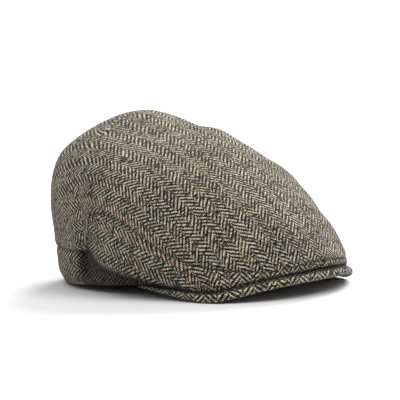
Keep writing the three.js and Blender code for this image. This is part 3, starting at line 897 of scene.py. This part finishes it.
class Tweed(Graph):
    """Two-and-two herringbone twill: dark warp along v and pale weft along u."""

    def __init__(self, name, seed):
        super().__init__(name)
        self.seed = seed
        place = self.node("ShaderNodeSeparateXYZ")
        self.put(place.inputs[0], self.node("ShaderNodeUVMap", uv_map="cloth").outputs[0])
        self.u, self.v = place.outputs[0], place.outputs[1]
        # The same place counted in yarns, and the numbers of its warp and weft yarns.
        self.across = self.yarns_along(self.u, 0)
        self.along = self.yarns_along(self.v, 1)
        self.warp_number = self.math("FLOOR", self.across)
        self.weft_number = self.math("FLOOR", self.along)
        # The twill climbs one way in even stripes and the other way in odd ones.
        odd = self.math("FLOORED_MODULO", self.count(self.across, STRIPE_YARNS), 2)
        self.sign = self.subtract(1, self.multiply(odd, 2))
        climb = self.add(self.multiply(self.warp_number, self.sign), self.weft_number)
        self.phase = self.math("FLOORED_MODULO", self.add(climb, odd), REPEAT_YARNS)
        self.warp_up = self.math("LESS_THAN", self.phase, FLOAT_YARNS - 0.5)

    def cloud(self, seed, scale, detail):
        """Soft noise over the cloth, from 0 to 1."""
        return self.noise(self.vector(self.u, self.v, self.seed + seed), scale, detail)

    def yarns_along(self, length, way):
        """A length on the cloth in yarns, which stray a little. way is 0 for the warp and 1 for the weft."""
        for (scale, detail, reach), seeds in ((DRIFT, DRIFT_SEEDS), (FINE_DRIFT, FINE_DRIFT_SEEDS)):
            stray = self.subtract(self.cloud(seeds[way], scale, detail), 0.5)
            length = self.add(length, self.multiply(stray, reach))
        return self.math("DIVIDE", length, YARN)

    def yarn_height(self, side_place, float_place):
        """A yarn is round across and arched along its float."""
        across = self.math("SINE", self.multiply(side_place, math.pi))
        arch = self.math("SINE", self.multiply(float_place, math.pi / FLOAT_YARNS))
        return self.multiply(across, self.math("POWER", self.math("MAXIMUM", arch, LEAST_ARCH), ARCH_POWER))

    def height(self):
        """The height of the yarn on top."""
        warp_side, weft_side = self.math("FRACT", self.across), self.math("FRACT", self.along)
        turned_side = self.add(0.5, self.multiply(self.sign, self.subtract(warp_side, 0.5)))
        warp = self.yarn_height(warp_side, self.add(self.phase, weft_side))
        weft = self.yarn_height(weft_side, self.add(self.subtract(self.phase, FLOAT_YARNS), turned_side))
        weft_up = self.subtract(1, self.warp_up)
        return self.add(self.multiply(warp, self.warp_up), self.multiply(weft, weft_up))

    def chances(self):
        """A random value for each float of the warp and of the weft, by where it starts."""
        warp_start = self.subtract(self.weft_number, self.phase)
        weft_run = self.multiply(self.sign, self.subtract(self.phase, FLOAT_YARNS))
        weft_start = self.subtract(self.warp_number, weft_run)
        return (self.random(self.warp_number, warp_start, self.seed + WARP_SEED),
                self.random(weft_start, self.weft_number, self.seed + WEFT_SEED))

    def tone(self, float_chance, yarn_chance):
        return self.add(self.multiply(float_chance, FLOAT_TONE), self.multiply(yarn_chance, YARN_TONE))

    def yarn_colours(self):
        """The colours of the warp and of the weft."""
        warp_chance, weft_chance = self.chances()
        warp_tone = self.tone(warp_chance, self.random(self.warp_number, ONE_YARN, self.seed))
        weft_tone = self.tone(weft_chance, self.random(ONE_YARN, self.weft_number, self.seed))
        warp = self.mix(self.range(warp_tone, *WARP_TONES), DARK_YARN, DARK_YARN_WARM)
        weft = self.mix(self.range(weft_tone, *WEFT_TONES), PALE_YARN, PALE_YARN_GREY)
        # Some floats carry the other yarn's fibres, which breaks the lines up.
        warp = self.mix(self.range(warp_chance, *WARP_FIBRES), warp, PALE_YARN_GREY)
        weft = self.mix(self.range(weft_chance, *WEFT_FIBRES), weft, DARK_YARN_WARM)
        nap = self.cloud(NAP_SEED, *NAP)
        warp = self.mix(self.range(nap, *WARP_NAP), warp, PALE_YARN_GREY)
        weft = self.mix(self.range(nap, *WEFT_NAP), weft, DARK_YARN_WARM)
        return warp, weft

    def overcheck(self, colour, number, checks, strength):
        for every, which, dye in checks:
            place = self.math("FLOORED_MODULO", number, every)
            on_check = self.math("COMPARE", place, which, CHECK_HALF_WIDTH)
            colour = self.mix(self.multiply(on_check, strength), colour, dye)
        return colour

    def flecks(self, colour, across, along, seed):
        for number, (share, dye) in enumerate(FLECKS):
            chance = self.random(across, along, self.seed + seed + number)
            on_fleck = self.math("LESS_THAN", chance, share)
            colour = self.mix(self.multiply(on_fleck, FLECK_STRENGTH), colour, dye)
        return colour

    def shaded(self, colour, height):
        """Painted shading where yarns dip below their neighbours and in folds, and broad patches of tone."""
        yarn_shade = self.range(height, *YARN_PAINTED_SHADES)
        patch = self.range(self.cloud(PATCH_SEED, *PATCHES), *PATCH_SHADES)
        # Painted shade in the folds, the seams and the crease, and on the peak under the strip.
        painted_fold_shade = self.node("ShaderNodeAttribute", attribute_name="shade").outputs["Fac"]
        level = self.multiply(self.multiply(yarn_shade, patch), painted_fold_shade)
        grey = self.node("ShaderNodeCombineColor")
        for socket in grey.inputs:
            self.put(socket, level)
        return self.mix(1.0, colour, grey.outputs[0], "MULTIPLY")

    def set_relief(self, height):
        """Raises the yarns, and the fuzz on them."""
        u, v = self.multiply(self.u, FUZZ_STRETCH), self.multiply(self.v, FUZZ_STRETCH)
        fuzz = self.noise(self.vector(u, v, self.seed), *FUZZ)
        relief = self.node("ShaderNodeBump")
        relief.inputs["Strength"].default_value = RELIEF_STRENGTH
        relief.inputs["Distance"].default_value = RELIEF_DEPTH * MM
        self.put(relief.inputs["Height"], self.add(height, self.multiply(fuzz, FUZZ_HEIGHT)))
        self.put(self.shader.inputs["Normal"], relief.outputs[0])


def tweed(name, seed):
    weave = Tweed(name, seed)
    warp, weft = weave.yarn_colours()
    warp = weave.overcheck(warp, weave.warp_number, WARP_CHECKS, WARP_CHECK_STRENGTH)
    weft = weave.overcheck(weft, weave.weft_number, WEFT_CHECKS, WEFT_CHECK_STRENGTH)
    weft = weave.flecks(weft, weave.count(weave.across, FLECK_YARNS), weave.weft_number, WEFT_FLECK_SEED)
    warp = weave.flecks(warp, weave.warp_number, weave.count(weave.along, FLECK_YARNS), WARP_FLECK_SEED)
    height = weave.height()
    colour = weave.shaded(weave.mix(weave.warp_up, weft, warp), height)
    weave.put(weave.shader.inputs["Base Color"], colour)
    for socket, value in TWEED_SURFACE.items():
        weave.shader.inputs[socket].default_value = value
    weave.set_relief(height)
    return weave.material


def carry(piece, node):
    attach(piece, "root")
    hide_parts(node)


carry(build_top(tweed("top_tweed", 1.0)), "top_panel")
right_side = build_side("right_side_cloth", tweed("right_tweed", 51.0), mirrored=False)
carry(right_side, "side_panel_right")
left_side = build_side("left_side_cloth", tweed("left_tweed", 101.0), mirrored=True)
carry(left_side, "side_panel_left")
carry(build_peak(tweed("peak_tweed", 151.0)), "peak")

# The floor, lit by broad studio lights under a pale sky. Its half size is in metres.
FLOOR_SIZE = 60
FLOOR_COLOUR = (0.6, 0.6, 0.6, 1)
FLOOR_ROUGHNESS = 0.9
HORIZON = (0.55, 0.55, 0.55, 1)
ZENITH = (1.0, 1.0, 1.0, 1)

# Each light's azimuth, elevation and width in degrees, and its strength.
LIGHTS = {"key": (15, 52, 35, 1.7), "rim": (108, 36, 30, 3.8), "fill": (-80, 60, 50, 0.8)}

# The camera, fitted to the photograph, with its distance and the height of its target in metres.
CAMERA_AZIMUTH = -46
CAMERA_ELEVATION = 6
CAMERA_ROLL = 2
CAMERA_DISTANCE = 1.6
CAMERA_LENS = 187.2
CAMERA_SHIFT = (0.04, 0.01)
TARGET = Vector((0, BALANCE_SETBACK * MM, 0.06))


def pale_floor():
    graph = Graph("pale_floor")
    graph.shader.inputs["Base Color"].default_value = FLOOR_COLOUR
    graph.shader.inputs["Roughness"].default_value = FLOOR_ROUGHNESS
    return graph.material


def lay_floor():
    mesh = bpy.data.meshes.new("floor")
    corners = [(x * FLOOR_SIZE, y * FLOOR_SIZE, 0) for x, y in ((-1, -1), (1, -1), (1, 1), (-1, 1))]
    mesh.from_pydata(corners, [], [(0, 1, 2, 3)])
    mesh.materials.append(pale_floor())
    floor = bpy.data.objects.new("floor", mesh)
    bpy.context.scene.collection.objects.link(floor)


def direction(azimuth, elevation):
    """From the cap towards a place, in degrees round from the front and up."""
    turn, rise = math.radians(azimuth), math.radians(elevation)
    return Vector((math.sin(turn) * math.cos(rise), -math.cos(turn) * math.cos(rise), math.sin(rise)))


def soft_light(name, azimuth, elevation, softness, strength):
    """A broad studio light that falls evenly on the whole floor."""
    data = bpy.data.lights.new(name, "SUN")
    data.energy = strength
    data.angle = math.radians(softness)
    light = bpy.data.objects.new(name, data)
    light.location = direction(azimuth, elevation)
    light.rotation_mode = "QUATERNION"
    light.rotation_quaternion = light.location.to_track_quat("Z", "Y")
    bpy.context.scene.collection.objects.link(light)


def pale_sky():
    world = bpy.data.worlds.new("studio")
    world.use_nodes = True
    tree = world.node_tree
    place = tree.nodes.new("ShaderNodeTexCoord")
    parts = tree.nodes.new("ShaderNodeSeparateXYZ")
    fade = tree.nodes.new("ShaderNodeMix")
    fade.data_type = "RGBA"
    fade.inputs[6].default_value = HORIZON
    fade.inputs[7].default_value = ZENITH
    tree.links.new(place.outputs["Generated"], parts.inputs[0])
    tree.links.new(parts.outputs["Z"], fade.inputs["Factor"])
    tree.links.new(fade.outputs[2], tree.nodes["Background"].inputs["Color"])
    return world


def add_camera():
    turn, roll = math.radians(CAMERA_AZIMUTH), math.radians(CAMERA_ROLL)
    back = direction(CAMERA_AZIMUTH, CAMERA_ELEVATION)
    right = Vector((math.cos(turn), math.sin(turn), 0))
    up = back.cross(right)
    tilted_right = right * math.cos(roll) - up * math.sin(roll)
    tilted_up = up * math.cos(roll) + right * math.sin(roll)
    data = bpy.data.cameras.new("camera")
    data.lens = CAMERA_LENS
    data.shift_x, data.shift_y = CAMERA_SHIFT
    camera = bpy.data.objects.new("camera", data)
    facing = Matrix((tilted_right, tilted_up, back)).transposed().to_4x4()
    camera.matrix_world = Matrix.Translation(TARGET + back * CAMERA_DISTANCE) @ facing
    bpy.context.scene.collection.objects.link(camera)
    bpy.context.scene.camera = camera


lay_floor()
for light_name, light_values in LIGHTS.items():
    soft_light(light_name, *light_values)
bpy.context.scene.world = pale_sky()
bpy.context.scene.view_settings.view_transform = "Standard"
add_camera()
